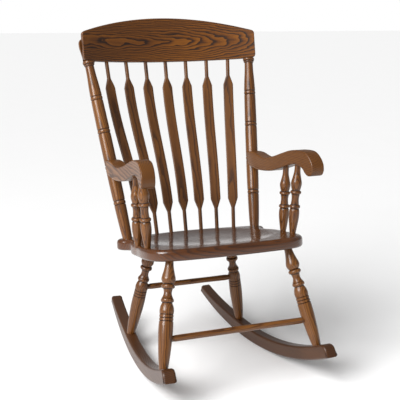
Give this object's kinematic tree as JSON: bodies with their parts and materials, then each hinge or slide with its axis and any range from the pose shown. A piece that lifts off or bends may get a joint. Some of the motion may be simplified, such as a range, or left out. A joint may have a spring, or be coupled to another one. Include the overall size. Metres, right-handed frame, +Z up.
{
  "type": "rocking chair",
  "caption": "Wooden rocking chair with a bent crest rail, arrow slats, turned posts and legs, scroll arms and a scooped seat.",
  "frame": {"origin": "on the floor midway between the rockers, where they touch it at rest", "axes": "+Z up, -Y towards the chair's front, +X to the right of someone facing the chair's front"},
  "size_m": [0.674, 0.8676, 1.1684],
  "materials": {
    "oak_seat": "walnut-stained oak under satin-gloss lacquer",
    "oak_crest": "walnut-stained oak with a bold cathedral grain under satin lacquer",
    "oak_slat": "walnut-stained oak, straight grain, satin lacquer",
    "oak_arm": "walnut-stained oak under satin-gloss lacquer",
    "oak_rocker": "walnut-stained oak under satin-gloss lacquer",
    "oak_turned": "turned golden-brown oak under satin-gloss lacquer",
    "oak_plug": "oak plug, stained and lacquered",
    "screw_steel": "zinc-plated steel"
  },
  "bodies": {
    "root": {"seat": "oak_seat", "crest_rail": "oak_crest", "back_post_left": "oak_turned", "back_post_right": "oak_turned", "slat_1": "oak_slat", "slat_2": "oak_slat", "slat_3": "oak_slat", "slat_4": "oak_slat", "slat_5": "oak_slat", "slat_6": "oak_slat", "slat_7": "oak_slat", "arm_left": "oak_arm", "arm_right": "oak_arm", "arm_post_front_left": "oak_turned", "arm_post_front_right": "oak_turned", "arm_post_rear_left": "oak_turned", "arm_post_rear_right": "oak_turned", "leg_front_left": "oak_turned", "leg_front_right": "oak_turned", "leg_rear_left": "oak_turned", "leg_rear_right": "oak_turned", "front_stretcher": "oak_turned", "rear_stretcher": "oak_turned", "rocker_left": "oak_rocker", "rocker_right": "oak_rocker", "arm_screws": "screw_steel", "crest_screws": "screw_steel", "screw_plugs": "oak_plug"}
  },
  "joints": []
}
